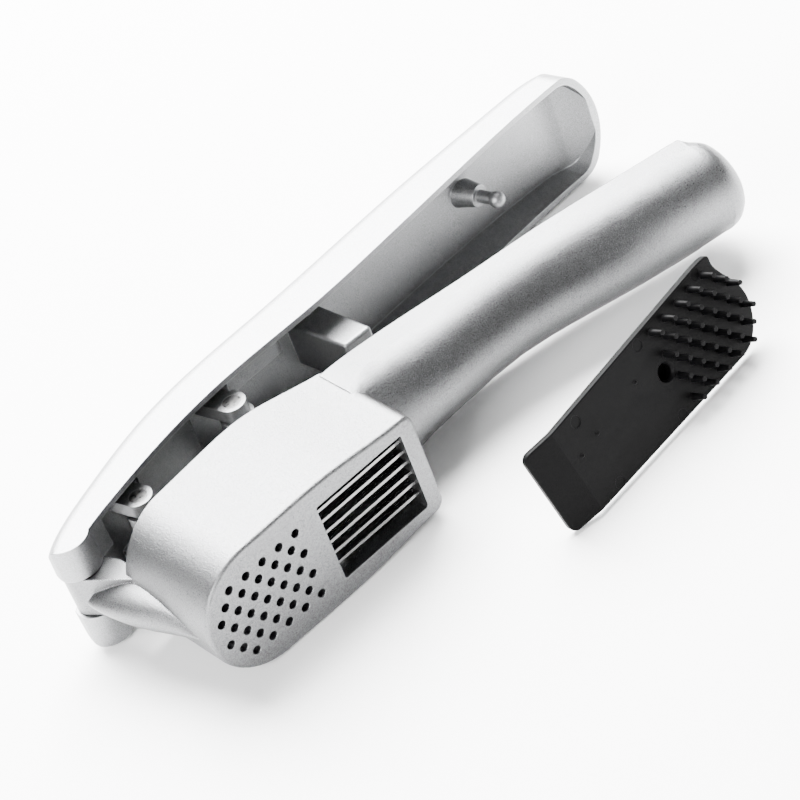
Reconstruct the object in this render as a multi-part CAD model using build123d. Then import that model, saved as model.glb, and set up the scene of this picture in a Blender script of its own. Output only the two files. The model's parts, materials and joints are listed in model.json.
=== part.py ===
from build123d import *
import os

# Garlic press with a built-in slicer, lying on its side with the lever a little open,
# and its cleaning tool standing beside it.
# Every piece is drawn in an upright closed pose: X from the hinge towards the handle tips,
# Y along the hinge pin, Z up from the perforated face at Z = 0. The lever group is then
# swung open, and the whole press is laid on its +Y side.

# ---- driving dimensions, millimetres and degrees ----
OPEN_ANGLE = 13.0            # lever opening at rest, from fully closed
PLUNGER_RATIO = -0.9         # turn of each pusher on its pin, against the lever's opening
SLICER_RATIO = -0.8
RUN_CLEARANCE = 0.05         # radial clearance of a pin in a moving part

HINGE_X = -36.0
HINGE_Z = 43.0
HINGE_PIN_RADIUS = 2.5
HINGE_PIN_BLIND_Y = -12.6    # its bore is blind on this side and open on the other
KNUCKLE_RADIUS = 5.6
LUG_RADIUS = 4.7
LUG_HALF_WIDTH = 5.8         # body lug between the two ears of the lever
EAR_INNER = 6.1

HEAD_HALF_WIDTH = 16.9
NOSE_X = -15.7               # centre of the round nose in plan
NOSE_RADIUS = 16.8
HEAD_END_X = 36.0
HEAD_END_HALF_WIDTH = 15.0
FLOOR = 2.5

HOLE_RADIUS = 1.15
HOLE_PITCH_X = 2.55
HOLE_PITCH_Y = 3.287

PRESS_FRONT_X = -30.2        # press chamber, round at the front
PRESS_BACK_X = 1.8
PRESS_HALF_WIDTH = 14.2

SLICER_FRONT_X = 4.65        # slicer chamber and its window through the floor
SLICER_BACK_X = 31.45
SLICER_HALF_WIDTH = 11.5

BLADE_COUNT = 6
BLADE_PITCH = 3.3
BLADE_THICKNESS = 0.8
BLADE_BOTTOM = 2.2
BLADE_TOP = 7.4
BLADE_SEAT = 1.2             # length of each blade end held in the wall
BLADE_GRIND = 1.2            # height of the ground edge
BLADE_EDGE_HALF = 0.08       # half of the thickness left at the edge

LEVER_HALF_WIDTH = 15.8
LEVER_WALL = 1.6
TIP_END = 147.0              # outermost point of the tip in plan
TIP_BULGE = 6.0              # how far its middle stands out over its corners
TIP_CORNER = 7.0
EAR_BACK_X = -27.5           # where the solid ears end and the channel starts
PAD_BOTTOM = 43.5            # underside of the thick pad between the two pairs of lugs

PIN_RADIUS = 2.2             # pins of the two pushers
PIN_HALF_LENGTH = 11.0
PRESS_PIN_X = -16.07
PRESS_PIN_Z = 38.2
SLICER_PIN_X = 17.56
SLICER_PIN_Z = 34.9
PIN_LUG_RADIUS = 3.6
PIN_LUG_INNER = 7.2
PIN_LUG_OUTER = 11.0
PUSHER_BOSS_HALF = 6.9
PUSHER_BOSS_RADIUS = 4.4
STEM_HALF = 3.4              # half thickness of a pusher's stem
WEB_HALF = 1.6               # half thickness of a pusher's lengthwise web
PLATE_GAP = 0.35             # gap from the press plate to its chamber walls
FIN_GAP = 0.3                # gap from a fin of the slicer pusher to a blade

STUD_X = 109.3               # storage stud on the lever, with its ball
STUD_BASE_Z = 33.0
STUD_SHOULDER_Z = 26.1
STUD_BALL_Z = 20.7

TOOL_THICKNESS = 1.8         # cleaning tool: u along it from the snap socket, v across it
TOOL_ROUND_END = 30.5
TOOL_LIP_END = -43.5
TOOL_CREASE = -34.5
TOOL_BEND = 14.0
TOOL_END_HALF_WIDTH = 13.0
TOOL_LIP_HALF_WIDTH = 11.4
TOOL_PIN_HEIGHT = 4.2
SNAP_RADIUS = 2.05           # blind socket that snaps over the ball of the storage stud
SNAP_FLOOR = -3.2
TOOL_CORNER = (46.0, -35.0)  # where its lower lip corner stands
TOOL_HEADING = 6.0
TOOL_LEAN = 20.0


def block(x0, x1, y0, y1, z0, z1):
    """Box between two corners."""
    centre = ((x0 + x1) / 2, (y0 + y1) / 2, (z0 + z1) / 2)
    return Pos(*centre) * Box(x1 - x0, y1 - y0, z1 - z0)


def slab(face_xz, y0, y1):
    """Side-view face in the XZ plane, extruded across the width from y0 to y1."""
    return Pos(0, y1, 0) * extrude(face_xz, y1 - y0)


def side_face(*edges):
    """Face in the XZ plane from edges drawn with the sketch axes (x, z)."""
    return Plane.XZ * make_face(Curve() + list(edges))


def cross_pin(x, z, radius, y0, y1):
    """Round pin along the width from y0 to y1."""
    return Pos(x, (y0 + y1) / 2, z) * Rot(90, 0, 0) * Cylinder(radius, y1 - y0)


# ---- body ----
def head_outline():
    """Plan outline of the head: round nose, swelling sides, tapered end."""
    side = HEAD_HALF_WIDTH
    end = HEAD_END_HALF_WIDTH
    end_x = HEAD_END_X
    front = ThreePointArc((NOSE_X, side), (NOSE_X - NOSE_RADIUS, 0), (NOSE_X, -side))
    right = Spline((NOSE_X, -side), (12, -side), (end_x, -end), tangents=[(1, 0), (1, -0.02)])
    back = Line((end_x, -end), (end_x, end))
    left = Spline((end_x, end), (12, side), (NOSE_X, side), tangents=[(-1, 0.02), (-1, 0)])
    return make_face(Curve() + [front, right, back, left])


def head_block():
    """Solid head with its crowned rim and rounded edges."""
    prism = extrude(head_outline(), 40)
    corners = prism.edges().filter_by(Axis.Z).group_by(Axis.X)[-1]
    prism = fillet(corners, 3.0)
    rim = Spline((-40, 29.0), (-20, 31.8), (0, 33.4), (14, 33.9), (26, 32.0), (44, 28.0))
    cap = side_face(
        rim,
        Line((44, 28.0), (44, 60)),
        Line((44, 60), (-40, 60)),
        Line((-40, 60), (-40, 29.0)),
    )
    prism -= slab(cap, -30, 30)
    bottom = prism.edges().group_by(Axis.Z)[0]
    return fillet(bottom, 1.0)


def handle_section(x, half_width, top, straight, depth):
    """Half-tube section across X: open side up, straight flanks and an elliptical back."""
    flank = top - straight
    sketch = make_face(
        Curve()
        + [
            Line((-half_width, top), (half_width, top)),
            Line((half_width, top), (half_width, flank)),
            EllipticalCenterArc((0, flank), half_width, depth, 180, arc_size=180),
            Line((-half_width, flank), (-half_width, top)),
        ]
    )
    return Plane(origin=(x, 0, 0), x_dir=(0, 1, 0), z_dir=(1, 0, 0)) * sketch


HANDLE_STATIONS = [          # x, half width, top, straight flank, depth of the round back
    (33.0, 15.35, 29.2, 10.0, 9.0),
    (38.0, 14.9, 29.7, 8.6, 10.2),
    (46.0, 13.8, 30.2, 6.8, 11.8),
    (60.0, 12.5, 29.6, 6.4, 11.6),
    (79.0, 12.1, 26.6, 4.2, 11.4),
    (97.0, 12.5, 23.4, 4.6, 11.8),
    (114.0, 12.9, 19.4, 4.9, 12.2),
    (130.0, 12.8, 16.0, 5.2, 12.4),
    (137.5, 12.7, 14.4, 5.1, 12.4),
    (145.0, 12.4, 12.7, 5.0, 12.1),
]
HANDLE_END_RADIUS = 6.0
HANDLE_WALL = 2.6
HANDLE_HOLLOW = (43.5, 138.0)


def handle_outer():
    """Handle as one smooth loft, its blunt end rounded all round."""
    tube = loft([handle_section(*station) for station in HANDLE_STATIONS])
    end = tube.faces().sort_by(Axis.X)[-1]
    return fillet(end.edges(), HANDLE_END_RADIUS)


def handle_hollow():
    """Hollow of the handle, open towards the lever."""
    sections = []
    for x, half_width, top, straight, depth in HANDLE_STATIONS[1:]:
        inner = (half_width - HANDLE_WALL, top + 6, straight + 6, depth - HANDLE_WALL)
        sections.append(handle_section(x, *inner))
    hollow = loft(sections)
    front, back = HANDLE_HOLLOW
    return hollow & block(front, back, -20, 20, -20, 60)


def press_chamber():
    """Chamber over the perforated floor, round at the nose."""
    radius = PRESS_HALF_WIDTH
    centre_x = PRESS_FRONT_X + radius
    plan = make_face(
        Curve()
        + [
            ThreePointArc((centre_x, radius), (PRESS_FRONT_X, 0), (centre_x, -radius)),
            Line((centre_x, -radius), (PRESS_BACK_X, -radius)),
            Line((PRESS_BACK_X, -radius), (PRESS_BACK_X, radius)),
            Line((PRESS_BACK_X, radius), (centre_x, radius)),
        ]
    )
    chamber = Pos(0, 0, FLOOR) * extrude(plan, 50)
    corners = chamber.edges().filter_by(Axis.Z).group_by(Axis.X)[-1]
    return fillet(corners, 2.5)


def hole_positions():
    """Centres of the staggered holes: rows of four and three, and two at the nose."""
    spots = []
    for column in range(1, 12):
        x = -HOLE_PITCH_X * column
        rows = (0, 2, -2) if column % 2 == 0 else (1, -1, 3, -3)
        if column == 11:
            rows = (1, -1)
        spots += [(x, HOLE_PITCH_Y * row) for row in rows]
    return spots


def slicer_opening():
    """Slicer chamber and its window, open right through the head."""
    size = (SLICER_BACK_X - SLICER_FRONT_X, 2 * SLICER_HALF_WIDTH)
    centre_x = (SLICER_FRONT_X + SLICER_BACK_X) / 2
    return Pos(centre_x, 0, -1) * extrude(RectangleRounded(*size, 0.6), 50)


GUSSET_STATIONS = [          # z, foremost x, half width
    (5.0, -32.7, 0.8),
    (10.0, -33.9, 2.4),
    (15.0, -35.4, 3.8),
    (20.0, -37.1, 4.7),
    (25.0, -38.6, 5.0),
    (29.5, -39.6, 4.6),
    (33.5, -40.2, 3.6),
    (37.5, -40.3, 2.0),
]
GUSSET_BACK = -31.5          # middle of every section, inside the wall of the nose


def nose_gusset():
    """Leaf-shaped gusset that runs from the hinge lug down the nose."""
    sections = []
    for z, front, half in GUSSET_STATIONS:
        leaf = Ellipse(GUSSET_BACK - front, half)
        sections.append(Pos(GUSSET_BACK, 0, z) * leaf)
    gusset = loft(sections)
    return gusset & block(-45, -28.5, -10, 10, 0, 45)


def hinge_lug():
    """Lug on the nose that carries the hinge pin."""
    left = HINGE_X - LUG_RADIUS
    profile = side_face(
        Line((-34.2, 32.0), (-31.0, 27.0)),
        Line((-31.0, 27.0), (-28.5, 27.0)),
        Line((-28.5, 27.0), (-28.5, 34.5)),
        Line((-28.5, 34.5), (HINGE_X + LUG_RADIUS, HINGE_Z)),
        ThreePointArc(
            (HINGE_X + LUG_RADIUS, HINGE_Z),
            (HINGE_X, HINGE_Z + LUG_RADIUS),
            (left, HINGE_Z),
        ),
        ThreePointArc((left, HINGE_Z), (-40.5, 41.6), (-39.8, 40.3)),
        Line((-39.8, 40.3), (-34.2, 32.0)),
    )
    lug = slab(profile, -LUG_HALF_WIDTH, LUG_HALF_WIDTH)
    return lug + nose_gusset()


def press_body():
    """Lower casting: head, hinge lug and handle."""
    body = head_block() + handle_outer() + hinge_lug()
    body -= press_chamber()
    body -= slicer_opening()
    body -= handle_hollow()
    hole = Cylinder(HOLE_RADIUS, 10)
    body -= [Pos(x, y, 0) * hole for x, y in hole_positions()]
    body -= cross_pin(HINGE_X, HINGE_Z, HINGE_PIN_RADIUS + RUN_CLEARANCE, -10, 10)
    for y in blade_rows():
        body -= blade_blank(y)
    return body


# ---- blades ----
def blade_rows():
    """Places of the blades across the window."""
    first = -BLADE_PITCH * (BLADE_COUNT - 1) / 2
    return [first + BLADE_PITCH * index for index in range(BLADE_COUNT)]


def blade_blank(y):
    """One blade strip, its ends seated in the chamber walls."""
    half = BLADE_THICKNESS / 2
    front = SLICER_FRONT_X - BLADE_SEAT
    back = SLICER_BACK_X + BLADE_SEAT
    return block(front, back, y - half, y + half, BLADE_BOTTOM, BLADE_TOP)


def slicer_blade(y):
    """Blade with both sides ground to a fine edge on top."""
    blade = blade_blank(y)
    top_edges = blade.edges().filter_by(Axis.X).group_by(Axis.Z)[-1]
    return chamfer(top_edges, BLADE_GRIND, BLADE_THICKNESS / 2 - BLADE_EDGE_HALF)


# ---- pushers ----
def stem_and_boss(x, z, bottom):
    """Stem of a pusher up to its boss, bored to run on its pin."""
    half = PUSHER_BOSS_HALF
    stem = block(x - STEM_HALF, x + STEM_HALF, -half, half, bottom, z)
    boss = cross_pin(x, z, PUSHER_BOSS_RADIUS, -half, half)
    return stem + boss - cross_pin(x, z, PIN_RADIUS + RUN_CLEARANCE, -10, 10)


def press_plunger():
    """Press plate on a ribbed stem with a boss around its pin."""
    radius = PRESS_HALF_WIDTH - PLATE_GAP
    front = PRESS_FRONT_X + PLATE_GAP
    back = PRESS_BACK_X - 1.8
    centre_x = front + radius
    plan = make_face(
        Curve()
        + [
            ThreePointArc((centre_x, radius), (front, 0), (centre_x, -radius)),
            Line((centre_x, -radius), (back, -radius)),
            Line((back, -radius), (back, radius)),
            Line((back, radius), (centre_x, radius)),
        ]
    )
    bottom = FLOOR + 0.5
    plate = Pos(0, 0, bottom) * extrude(plan, 3.2)
    corners = plate.edges().filter_by(Axis.Z).group_by(Axis.X)[-1]
    plate = fillet(corners, 2.5)
    rib = bottom + 2
    web = block(-24.5, -5.5, -WEB_HALF, WEB_HALF, rib, 24)
    web += block(-18.0, -14.1, -10.5, 10.5, rib, 12)
    web += block(-18.0, -14.1, -PUSHER_BOSS_HALF, PUSHER_BOSS_HALF, rib, 14)
    return plate + web + stem_and_boss(PRESS_PIN_X, PRESS_PIN_Z, 12)


def slicer_pusher():
    """Slicer pusher: a grid of fins that pass between the blades, under a stem."""
    front = SLICER_FRONT_X + 1.15
    back = SLICER_BACK_X - 2.5
    half = SLICER_HALF_WIDTH - 0.4
    fin_bottom = 3.2
    plate_bottom = BLADE_TOP + 1.0
    plate = block(front, back, -half, half, plate_bottom, plate_bottom + 3)
    fin_half = (BLADE_PITCH - BLADE_THICKNESS) / 2 - FIN_GAP
    fins = []
    for index in range(BLADE_COUNT + 1):
        y = BLADE_PITCH * (index - BLADE_COUNT / 2)
        fins.append(block(front, back, y - fin_half, y + fin_half, fin_bottom, plate_bottom + 1))
    top = plate_bottom + 2
    web = block(front + 2, back - 2, -WEB_HALF, WEB_HALF, top, 20)
    return plate + fins + web + stem_and_boss(SLICER_PIN_X, SLICER_PIN_Z, top)


# ---- pins ----
def hinge_pin():
    """Pin that fills the lever's ears and runs in the body's lug."""
    return cross_pin(HINGE_X, HINGE_Z, HINGE_PIN_RADIUS, HINGE_PIN_BLIND_Y, LEVER_HALF_WIDTH - 0.3)


def pusher_pin(x, z):
    """Pin held in a pair of lugs, flush with their outer faces."""
    return cross_pin(x, z, PIN_RADIUS, -PIN_HALF_LENGTH, PIN_HALF_LENGTH)


# ---- lever ----
LEVER_TOP = [                # height of the web's outer middle line along the lever (x, z)
    (-42.0, 45.6),
    (-34.6, 48.6),
    (-20.0, 50.9),
    (0.0, 52.4),
    (20.0, 50.8),
    (44.0, 46.1),
    (70.0, 41.6),
    (93.4, 37.5),
    (128.7, 29.8),
    (138.5, 26.6),
    (144.0, 22.0),
    (147.4, 15.5),
]
LEVER_CORNER = 4.2           # radius between the web and the side walls
LEVER_CROWN = 0.9            # rise of the web's middle over its corners


def lever_section(x, top):
    """Section across the lever: crowned web, rounded corners and upright sides."""
    half = LEVER_HALF_WIDTH
    shoulder = top - LEVER_CROWN
    flank = shoulder - LEVER_CORNER
    turn = LEVER_CORNER * (1 - 0.5 ** 0.5)
    sketch = make_face(
        Curve()
        + [
            Line((-half, 0), (half, 0)),
            Line((half, 0), (half, flank)),
            ThreePointArc(
                (half, flank), (half - turn, shoulder - turn), (half - LEVER_CORNER, shoulder)
            ),
            ThreePointArc(
                (half - LEVER_CORNER, shoulder), (0, top), (LEVER_CORNER - half, shoulder)
            ),
            ThreePointArc(
                (LEVER_CORNER - half, shoulder), (turn - half, shoulder - turn), (-half, flank)
            ),
            Line((-half, flank), (-half, 0)),
        ]
    )
    return Plane(origin=(x, 0, 0), x_dir=(0, 1, 0), z_dir=(1, 0, 0)) * sketch


def lever_side_face():
    """Side view of the lever below its web: rim, round ears and open top."""
    left = HINGE_X - KNUCKLE_RADIUS
    rim = Spline(
        (150.0, 13.0), (140.0, 15.4), (121.7, 19.2), (100.6, 22.4), (79.2, 25.4), (49.0, 30.2),
        (20.0, 36.7), (0.0, 39.0), (-20.9, 39.2), (-32.0, 38.6),
        tangents=[(-1, 0.2), (-1, -0.1)],
    )
    return side_face(
        rim,
        ThreePointArc((-32.0, 38.6), (-37.5, 37.6), (left, HINGE_Z)),
        ThreePointArc((left, HINGE_Z), (-40.3, 46.6), (-37.2, 50.0)),
        Line((-37.2, 50.0), (-37.2, 60.0)),
        Line((-37.2, 60.0), (150.0, 60.0)),
        Line((150.0, 60.0), (150.0, 13.0)),
    )


def tip_plan(inset):
    """Plan outline of the lever, drawn in by a wall thickness for its hollow."""
    half = LEVER_HALF_WIDTH - inset
    end = TIP_END - inset
    corner = end - TIP_BULGE
    outline = make_face(
        Curve()
        + [
            Line((-50, -half), (corner, -half)),
            ThreePointArc((corner, -half), (end, 0), (corner, half)),
            Line((corner, half), (-50, half)),
            Line((-50, half), (-50, -half)),
        ]
    )
    return fillet(outline.vertices().group_by(Axis.X)[-1], TIP_CORNER - inset)


def lever_hollow():
    """Hollow of the lever under its web, sloping up to the end wall."""
    web = Spline(
        (EAR_BACK_X, 47.6), (-20.0, 48.2), (0.0, 49.7), (20.0, 48.0),
        (44.0, 43.3), (93.4, 34.7), (120.0, 28.9), (131.0, 25.8),
    )
    face = side_face(
        web,
        Spline((131.0, 25.8), (136.6, 23.6), (139.4, 21.0), tangents=[(1, -0.32), (1, -1.3)]),
        Spline((139.4, 21.0), (142.4, 17.8), (146.0, 12.0), tangents=[(1, -0.9), (1, -2.0)]),
        Line((146.0, 12.0), (146.0, 8.0)),
        Line((146.0, 8.0), (EAR_BACK_X, 8.0)),
        Line((EAR_BACK_X, 8.0), (EAR_BACK_X, 47.6)),
    )
    half = LEVER_HALF_WIDTH - LEVER_WALL
    return slab(face, -half, half) & Pos(0, 0, -20) * extrude(tip_plan(LEVER_WALL), 120)


def pin_lugs(x, z, reach):
    """Pair of lugs under the web that hold a pusher's pin."""
    lugs = []
    for y0, y1 in ((PIN_LUG_INNER, PIN_LUG_OUTER), (-PIN_LUG_OUTER, -PIN_LUG_INNER)):
        lug = block(x - PIN_LUG_RADIUS, x + PIN_LUG_RADIUS, y0, y1, z, z + reach)
        lug += cross_pin(x, z, PIN_LUG_RADIUS, y0, y1)
        lugs.append(lug)
    return lugs


def side_ledges():
    """Ledges along the inside of both walls, beside the slicer pusher."""
    face = side_face(
        Line((20.5, 50), (20.5, 37.6)),
        Line((20.5, 37.6), (35.5, 34.4)),
        ThreePointArc((35.5, 34.4), (38.0, 35.0), (39.0, 37.4)),
        Line((39.0, 37.4), (40.5, 45.0)),
        Line((40.5, 45.0), (20.5, 50)),
    )
    inner = 9.6
    outer = LEVER_HALF_WIDTH - LEVER_WALL + 0.2
    return [slab(face, inner, outer), slab(face, -outer, -inner)]


def stop_block():
    """Block under the web that stops in the hollow of the handle."""
    face = side_face(
        Line((45.6, 21.8), (53.6, 19.4)),
        Line((53.6, 19.4), (57.2, 42.5)),
        Line((57.2, 42.5), (48.2, 43.8)),
        Line((48.2, 43.8), (45.6, 21.8)),
    )
    return fillet(slab(face, -7, 7).edges(), 0.9)


def storage_stud():
    """Tapered post with a ball end that the cleaning tool snaps onto."""
    length = STUD_BASE_Z - STUD_SHOULDER_Z
    post = Pos(0, 0, STUD_SHOULDER_Z + length / 2) * Cone(2.9, 4.2, length)
    neck_length = STUD_SHOULDER_Z - STUD_BALL_Z
    neck = Pos(0, 0, STUD_BALL_Z + neck_length / 2) * Cylinder(1.7, neck_length)
    ball = Pos(0, 0, STUD_BALL_Z) * Sphere(2.2)
    return Pos(STUD_X, 0, 0) * (post + neck + ball)


def lever_outer():
    """Outside of the lever, still solid and open-ended below."""
    return loft([lever_section(x, top) for x, top in LEVER_TOP])


def lever_shell():
    """Channel of the lever with rounded outer edges and open clevis ears."""
    solid = lever_outer()
    solid &= slab(lever_side_face(), -20, 20)
    solid &= Pos(0, 0, -20) * extrude(tip_plan(0), 120)
    solid -= lever_hollow()
    solid -= block(-60, EAR_BACK_X, -EAR_INNER, EAR_INNER, 0, 60)
    return solid


def lever():
    """Upper casting: hinge ears, channel, pin lugs, stop block and storage stud."""
    inside = pin_lugs(PRESS_PIN_X, PRESS_PIN_Z, 10.5)
    inside += pin_lugs(SLICER_PIN_X, SLICER_PIN_Z, 13.5)
    inside += side_ledges()
    inside += [block(-10.3, 10.6, -14.6, 14.6, PAD_BOTTOM, 50.0), stop_block(), storage_stud()]
    outer = lever_outer()
    solid = lever_shell()
    for piece in inside:
        solid += piece & outer
    solid -= cross_pin(HINGE_X, HINGE_Z, HINGE_PIN_RADIUS, HINGE_PIN_BLIND_Y, 20)
    solid -= cross_pin(PRESS_PIN_X, PRESS_PIN_Z, PIN_RADIUS, -PIN_HALF_LENGTH, PIN_HALF_LENGTH)
    solid -= cross_pin(SLICER_PIN_X, SLICER_PIN_Z, PIN_RADIUS, -PIN_HALF_LENGTH, PIN_HALF_LENGTH)
    return solid


# ---- cleaning tool ----
TOOL_MARKS = [(21.4, 11.4), (-2.4, 10.3), (-27.4, 9.0), (-2.6, -11.0), (-26.7, -10.3)]
TOOL_BUMPS = [(-8.5, 4.3), (-24.5, 2.8), (-31.0, 1.9)]
TOOL_ROLL = 1.9              # turn in its own plane that puts its tapered edge level


def tool_plate():
    """Plate of the tool, tapered towards its lip and round at the end with the pins."""
    lip = TOOL_LIP_HALF_WIDTH
    end = TOOL_END_HALF_WIDTH
    plan = make_face(
        Curve()
        + [
            Line((TOOL_LIP_END, lip), (TOOL_LIP_END, -lip)),
            Line((TOOL_LIP_END, -lip), (20, -end)),
            Spline(
                (20, -end), (27.0, -10.2), (TOOL_ROUND_END, 0), (27.0, 10.2), (20, end),
                tangents=[(1, -0.03), (-1, -0.03)],
            ),
            Line((20, end), (TOOL_LIP_END, lip)),
        ]
    )
    plan = fillet(plan.vertices().group_by(Axis.X)[0], 2.2)
    flat = extrude(plan, -TOOL_THICKNESS)
    return fillet(flat.faces().sort_by(Axis.Z)[-1].edges(), 0.4)


def cleaning_tool():
    """Moulded tool: plate with a bent lip, cleaning pins, snap socket and ejector marks."""
    flat = tool_plate()
    bend = Rot(0, -TOOL_BEND, 0)
    lip = flat & block(TOOL_LIP_END - 1, TOOL_CREASE, -20, 20, -5, 5)
    lip = Pos(TOOL_CREASE, 0, 0) * bend * Pos(-TOOL_CREASE, 0, 0) * lip
    tool = flat & block(TOOL_CREASE, 40, -20, 20, -5, 5)
    knuckle = Pos(TOOL_CREASE, 0, -TOOL_THICKNESS / 2) * Rot(90, 0, 0)
    tool += lip + knuckle * Cylinder(TOOL_THICKNESS / 2, 2 * TOOL_LIP_HALF_WIDTH)
    pin = Pos(0, 0, TOOL_PIN_HEIGHT / 2 - 0.3) * Cone(0.95, 0.62, TOOL_PIN_HEIGHT + 0.6)
    tool += [Pos(-x, y, 0) * pin for x, y in hole_positions()]
    tool += Pos(0, 0, -TOOL_THICKNESS - 1.0) * Cone(2.9, 3.4, 2.4)
    tool -= Pos(0, 0, SNAP_FLOOR + 5) * Cylinder(SNAP_RADIUS, 10)
    tool -= Pos(0, 0, -0.3) * Cone(SNAP_RADIUS, 2.6, 0.7)
    tool -= [Pos(u, v, 0) * Cylinder(1.5, 0.4) for u, v in TOOL_MARKS]
    tool += [Pos(u, v, 0) * Sphere(0.5) for u, v in TOOL_BUMPS]
    return tool


# ---- rest pose ----
def turned(piece, x, z, angle):
    """Piece turned by an angle about an axis along the width, positive lifts the far end."""
    return Pos(x, 0, z) * Rot(0, -angle, 0) * Pos(-x, 0, -z) * piece


def opened(piece):
    """Piece swung open with the lever."""
    return turned(piece, HINGE_X, HINGE_Z, OPEN_ANGLE)


def hung(piece, pin_x, pin_z, ratio):
    """Pusher swung open with the lever, and turned back on its pin."""
    return opened(turned(piece, pin_x, pin_z, ratio * OPEN_ANGLE))


def laid(piece):
    """Piece laid on its +Y side, resting on the head's flank."""
    return Pos(0, 0, HEAD_HALF_WIDTH) * Rot(-90, 0, 0) * piece


def stood(tool):
    """Tool standing on its lower long edge, leaning back."""
    heading = Rot(0, 0, TOOL_HEADING)
    upright = Rot(90 - TOOL_LEAN, 0, 0)
    level = Rot(0, 0, TOOL_ROLL)
    standing = heading * upright * level * tool
    low = standing.bounding_box().min
    corner = heading * upright * level * Pos(TOOL_LIP_END, -TOOL_LIP_HALF_WIDTH, 0)
    x = TOOL_CORNER[0] - corner.position.X
    y = TOOL_CORNER[1] - corner.position.Y
    return Pos(x, y, -low.Z) * standing


def build():
    """All pieces in the rest pose, by node name."""
    pieces = {
        "press_body": press_body(),
        "lever": opened(lever()),
        "hinge_pin": opened(hinge_pin()),
        "press_plunger": hung(press_plunger(), PRESS_PIN_X, PRESS_PIN_Z, PLUNGER_RATIO),
        "plunger_pin": opened(pusher_pin(PRESS_PIN_X, PRESS_PIN_Z)),
        "slicer_pusher": hung(slicer_pusher(), SLICER_PIN_X, SLICER_PIN_Z, SLICER_RATIO),
        "slicer_pusher_pin": opened(pusher_pin(SLICER_PIN_X, SLICER_PIN_Z)),
    }
    for index, y in enumerate(blade_rows()):
        pieces[f"slicer_blade_{index + 1}"] = slicer_blade(y)
    pieces = {name: laid(piece) for name, piece in pieces.items()}
    pieces["cleaning_tool"] = stood(cleaning_tool())
    return pieces


def centred(pieces):
    """Pieces moved so that the origin is the bottom centre of the whole."""
    boxes = [piece.bounding_box() for piece in pieces.values()]
    middle_x = (min(box.min.X for box in boxes) + max(box.max.X for box in boxes)) / 2
    middle_y = (min(box.min.Y for box in boxes) + max(box.max.Y for box in boxes)) / 2
    bottom = min(box.min.Z for box in boxes)
    shift = Pos(-middle_x, -middle_y, -bottom)
    return {name: shift * piece for name, piece in pieces.items()}


os.makedirs("parts", exist_ok=True)
for name, piece in centred(build()).items():
    export_step(piece, f"parts/{name}.step")
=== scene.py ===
import json
import bpy
from mathutils import Matrix, Vector


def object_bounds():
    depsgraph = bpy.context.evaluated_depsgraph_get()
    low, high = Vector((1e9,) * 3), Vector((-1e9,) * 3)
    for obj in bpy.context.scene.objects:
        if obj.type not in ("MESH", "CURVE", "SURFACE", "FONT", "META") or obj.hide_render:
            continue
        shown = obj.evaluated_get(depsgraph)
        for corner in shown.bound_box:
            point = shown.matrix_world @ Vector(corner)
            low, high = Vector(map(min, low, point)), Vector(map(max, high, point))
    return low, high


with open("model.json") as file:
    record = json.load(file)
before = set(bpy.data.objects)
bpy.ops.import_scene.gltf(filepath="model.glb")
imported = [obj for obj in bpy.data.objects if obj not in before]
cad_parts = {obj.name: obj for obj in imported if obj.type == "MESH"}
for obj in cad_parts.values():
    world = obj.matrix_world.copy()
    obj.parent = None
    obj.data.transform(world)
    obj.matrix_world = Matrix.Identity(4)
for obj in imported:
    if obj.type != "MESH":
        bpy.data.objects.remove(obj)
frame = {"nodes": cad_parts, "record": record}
cad_low, cad_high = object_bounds()

# ---- look settings ----
FLOOR_TONE = (0.93, 0.93, 0.93)
BODY_METAL = (0.150, 0.152, 0.155)
LEVER_METAL = (0.260, 0.263, 0.268)
STEEL = (0.19, 0.19, 0.188)
PLASTIC = (0.0010, 0.0010, 0.0011)
BLASTED_GRAIN = 3400.0       # noise cells per metre on the blasted casting
SATIN_GRAIN = 4200.0         # and on the smoother ones
SCRATCH_GRAIN = 900.0        # and across the scratches of ground steel
SPARK_GRAIN = 2600.0         # and on the moulded plastic
FLOOR_SIZE = 6.0             # metres, as every length below
WORLD_LIGHT = 0.60
SOFTBOXES = [                # name, place, side, power in watts; each is aimed at the object
    ("overhead", (0.35, 0.75, 1.0), 1.3, 300.0),
    ("left_fill", (-1.1, -0.35, 0.6), 0.8, 42.0),
]


# ---- node helpers ----
def material(name):
    """Empty material with a Principled shader; returns the material, its tree and the shader."""
    made = bpy.data.materials.new(name)
    made.use_nodes = True
    tree = made.node_tree
    tree.nodes.clear()
    shader = tree.nodes.new("ShaderNodeBsdfPrincipled")
    output = tree.nodes.new("ShaderNodeOutputMaterial")
    tree.links.new(shader.outputs["BSDF"], output.inputs["Surface"])
    return made, tree, shader


def place(tree, scale=(1, 1, 1)):
    """Object coordinates, in metres, stretched by a scale."""
    coords = tree.nodes.new("ShaderNodeTexCoord")
    mapping = tree.nodes.new("ShaderNodeMapping")
    mapping.inputs["Scale"].default_value = scale
    tree.links.new(coords.outputs["Object"], mapping.inputs["Vector"])
    return mapping.outputs["Vector"]


def noise(tree, vector, scale, detail=2.0, roughness=0.5):
    """Noise value between 0 and 1."""
    node = tree.nodes.new("ShaderNodeTexNoise")
    node.inputs["Scale"].default_value = scale
    node.inputs["Detail"].default_value = detail
    node.inputs["Roughness"].default_value = roughness
    tree.links.new(vector, node.inputs["Vector"])
    return node.outputs["Fac"]


def spread(tree, value, low, high, from_low=0.3, from_high=0.7):
    """Value stretched from one range to another, clamped."""
    node = tree.nodes.new("ShaderNodeMapRange")
    node.inputs["From Min"].default_value = from_low
    node.inputs["From Max"].default_value = from_high
    node.inputs["To Min"].default_value = low
    node.inputs["To Max"].default_value = high
    tree.links.new(value, node.inputs["Value"])
    return node.outputs["Result"]


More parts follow.
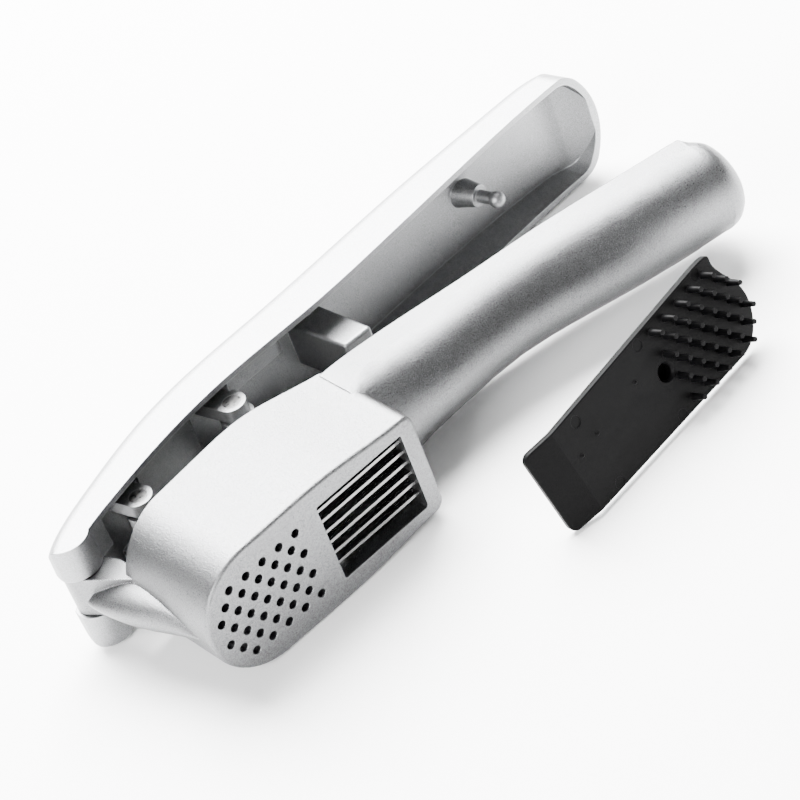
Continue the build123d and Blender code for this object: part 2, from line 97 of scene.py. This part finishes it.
def blend_colour(tree, factor, first, second, mode="MIX"):
    """Colour mixed by a factor; first and second are colours or sockets."""
    node = tree.nodes.new("ShaderNodeMix")
    node.data_type = "RGBA"
    node.blend_type = mode
    colours = [socket for socket in node.inputs if socket.type == "RGBA"]
    for socket, value in zip(colours, (first, second)):
        if isinstance(value, tuple):
            socket.default_value = (*value, 1.0)
        else:
            tree.links.new(value, socket)
    if isinstance(factor, float):
        node.inputs["Factor"].default_value = factor
    else:
        tree.links.new(factor, node.inputs["Factor"])
    return [socket for socket in node.outputs if socket.type == "RGBA"][0]


def bump(tree, height, distance, strength=1.0, normal=None):
    """Normal bumped by a height of so many metres."""
    node = tree.nodes.new("ShaderNodeBump")
    node.inputs["Distance"].default_value = distance
    node.inputs["Strength"].default_value = strength
    tree.links.new(height, node.inputs["Height"])
    if normal is not None:
        tree.links.new(normal, node.inputs["Normal"])
    return node.outputs["Normal"]


def soft_edge(tree, radius):
    """Normal that rounds the edges by a radius in metres."""
    node = tree.nodes.new("ShaderNodeBevel")
    node.samples = 6
    node.inputs["Radius"].default_value = radius
    return node.outputs["Normal"]


def edge_wear(tree, radius):
    """Mask that is 1 along the edges, where handling has polished the metal."""
    rounded = soft_edge(tree, radius)
    geometry = tree.nodes.new("ShaderNodeNewGeometry")
    product = tree.nodes.new("ShaderNodeVectorMath")
    product.operation = "DOT_PRODUCT"
    tree.links.new(rounded, product.inputs[0])
    tree.links.new(geometry.outputs["Normal"], product.inputs[1])
    return spread(tree, product.outputs["Value"], 1.0, 0.0, 0.80, 0.995)


# ---- materials ----
def cast_aluminium(name, tone, grain, coarse, rough, depth, edge=0.0004):
    """Bead-blasted casting: fine pits, faint flow marks and polished edges."""
    made, tree, shader = material(name)
    where = place(tree)
    pits = noise(tree, where, grain, 3.0, 0.6)
    flow = noise(tree, where, coarse, 3.0, 0.55)
    wear = edge_wear(tree, edge * 1.6)
    dark = tuple(channel * 0.62 for channel in tone)
    light = tuple(channel * 1.30 for channel in tone)
    polished = tuple(channel * 1.35 for channel in tone)
    colour = blend_colour(tree, spread(tree, pits, 0.0, 1.0, 0.34, 0.66), dark, light)
    cloud = blend_colour(tree, spread(tree, flow, 0.0, 0.25), colour, tone)
    tree.links.new(blend_colour(tree, wear, cloud, polished), shader.inputs["Base Color"])
    shader.inputs["Metallic"].default_value = 1.0
    speckle = spread(tree, pits, rough - 0.08, rough + 0.10)
    worn = tree.nodes.new("ShaderNodeMix")
    tree.links.new(wear, worn.inputs["Factor"])
    tree.links.new(speckle, worn.inputs["A"])
    worn.inputs["B"].default_value = rough - 0.14
    tree.links.new(worn.outputs["Result"], shader.inputs["Roughness"])
    rounded = soft_edge(tree, edge)
    waves = bump(tree, flow, 0.0002, 0.35, rounded)
    tree.links.new(bump(tree, pits, depth, 1.0, waves), shader.inputs["Normal"])
    return made


def ground_steel(name, along, rough, edge):
    """Ground steel: fine scratches along one direction."""
    made, tree, shader = material(name)
    lines = noise(tree, place(tree, along), SCRATCH_GRAIN, 4.0, 0.65)
    cloud = noise(tree, place(tree), 160.0, 2.0)
    dark = tuple(channel * 0.72 for channel in STEEL)
    light = tuple(channel * 1.25 for channel in STEEL)
    colour = blend_colour(tree, spread(tree, lines, 0.0, 1.0), dark, light)
    clouded = blend_colour(tree, spread(tree, cloud, 0.0, 0.3), colour, STEEL)
    tree.links.new(clouded, shader.inputs["Base Color"])
    shader.inputs["Metallic"].default_value = 1.0
    tree.links.new(spread(tree, lines, rough, rough + 0.16), shader.inputs["Roughness"])
    scratched = bump(tree, lines, 0.00003, 0.6, soft_edge(tree, edge))
    tree.links.new(scratched, shader.inputs["Normal"])
    return made


def moulded_plastic(name):
    """Satin black moulding: fine spark texture, faint handling marks, rubbed edges."""
    made, tree, shader = material(name)
    where = place(tree)
    spark = noise(tree, where, SPARK_GRAIN, 3.0, 0.6)
    smears = noise(tree, place(tree, (1.0, 1.0, 3.0)), 90.0, 4.0, 0.6)
    wear = edge_wear(tree, 0.0004)
    grey = tuple(channel * 2.2 for channel in PLASTIC)
    rubbed = tuple(channel * 4.0 for channel in PLASTIC)
    colour = blend_colour(tree, spread(tree, smears, 0.0, 0.35), PLASTIC, grey)
    tree.links.new(blend_colour(tree, wear, colour, rubbed), shader.inputs["Base Color"])
    tree.links.new(spread(tree, smears, 0.42, 0.53), shader.inputs["Roughness"])
    shader.inputs["Specular IOR Level"].default_value = 0.05
    sparked = bump(tree, spark, 0.00004, 0.8, soft_edge(tree, 0.0002))
    tree.links.new(sparked, shader.inputs["Normal"])
    return made


def paint(node, made):
    """The CAD node shows this material on every slot."""
    piece = frame["nodes"][node]
    if not piece.material_slots:
        piece.data.materials.append(made)
    for slot in piece.material_slots:
        slot.material = made


body_metal = cast_aluminium("blasted_aluminium", BODY_METAL, BLASTED_GRAIN, 70.0, 0.33, 0.00011)
lever_metal = cast_aluminium("satin_aluminium", LEVER_METAL, SATIN_GRAIN, 60.0, 0.44, 0.00003)
pusher_metal = cast_aluminium("pusher_aluminium", LEVER_METAL, SATIN_GRAIN, 110.0, 0.40, 0.00005, 0.0003)
pin_metal = ground_steel("ground_pin", (1.0, 1.0, 0.15), 0.24, 0.0002)
blade_metal = ground_steel("ground_blade", (0.12, 1.0, 1.0), 0.20, 0.00005)
plastic = moulded_plastic("black_plastic")

paint("press_body", body_metal)
paint("lever", lever_metal)
for part in ("press_plunger", "slicer_pusher"):
    paint(part, pusher_metal)
for part in ("hinge_pin", "plunger_pin", "slicer_pusher_pin"):
    paint(part, pin_metal)
for part in frame["nodes"]:
    if part.startswith("slicer_blade"):
        paint(part, blade_metal)
paint("cleaning_tool", plastic)


# ---- stage ----
def floor():
    """Plain pale floor under the whole object."""
    bpy.ops.mesh.primitive_plane_add(size=FLOOR_SIZE, location=(0.0, 0.0, cad_low[2]))
    ground = bpy.context.object
    ground.name = "floor"
    made, tree, shader = material("floor_paper")
    grain = noise(tree, place(tree), 240.0, 3.0)
    dim = tuple(channel * 0.985 for channel in FLOOR_TONE)
    tree.links.new(blend_colour(tree, grain, dim, FLOOR_TONE), shader.inputs["Base Color"])
    shader.inputs["Roughness"].default_value = 0.9
    shader.inputs["Specular IOR Level"].default_value = 0.1
    ground.data.materials.append(made)


def softbox(name, where, side, power):
    """Square area light aimed at the middle of the object's base."""
    lamp = bpy.data.lights.new(name, "AREA")
    lamp.shape = "SQUARE"
    lamp.size = side
    lamp.energy = power
    holder = bpy.data.objects.new(name, lamp)
    bpy.context.scene.collection.objects.link(holder)
    holder.location = where
    holder.rotation_euler = (-Vector(where)).to_track_quat("-Z", "Y").to_euler()


def surroundings():
    """Even pale light from all round."""
    world = bpy.data.worlds.new("studio")
    bpy.context.scene.world = world
    world.use_nodes = True
    background = world.node_tree.nodes["Background"]
    background.inputs["Color"].default_value = (1.0, 1.0, 1.0, 1.0)
    background.inputs["Strength"].default_value = WORLD_LIGHT


# The camera sees the press from above its perforated face, a little rolled about its view.
CAMERA_FROM_HINGE = (-0.19466, -0.53406, 0.48044)
CAMERA_RIGHT = (0.7058, -0.6482, -0.2844)
CAMERA_UP = (0.6059, 0.3449, 0.7168)
CAMERA_FORWARD = (0.3668, 0.6792, -0.6366)


def camera():
    """Long-lens camera placed from the hinge."""
    joints = frame["record"]["behaviour"]["joints"]
    hinge = next(joint for joint in joints if joint["name"] == "lever_hinge")
    lens = bpy.data.cameras.new("camera")
    lens.lens = 144.0
    lens.sensor_width = 36.0
    lens.clip_start = 0.01
    viewer = bpy.data.objects.new("camera", lens)
    bpy.context.scene.collection.objects.link(viewer)
    back = -Vector(CAMERA_FORWARD)
    turn = Matrix((CAMERA_RIGHT, CAMERA_UP, back)).transposed().to_4x4()
    place_at = Vector(hinge["pos_m"]) + Vector(CAMERA_FROM_HINGE)
    viewer.matrix_world = Matrix.Translation(place_at) @ turn
    bpy.context.scene.camera = viewer


floor()
surroundings()
for settings in SOFTBOXES:
    softbox(*settings)
camera()
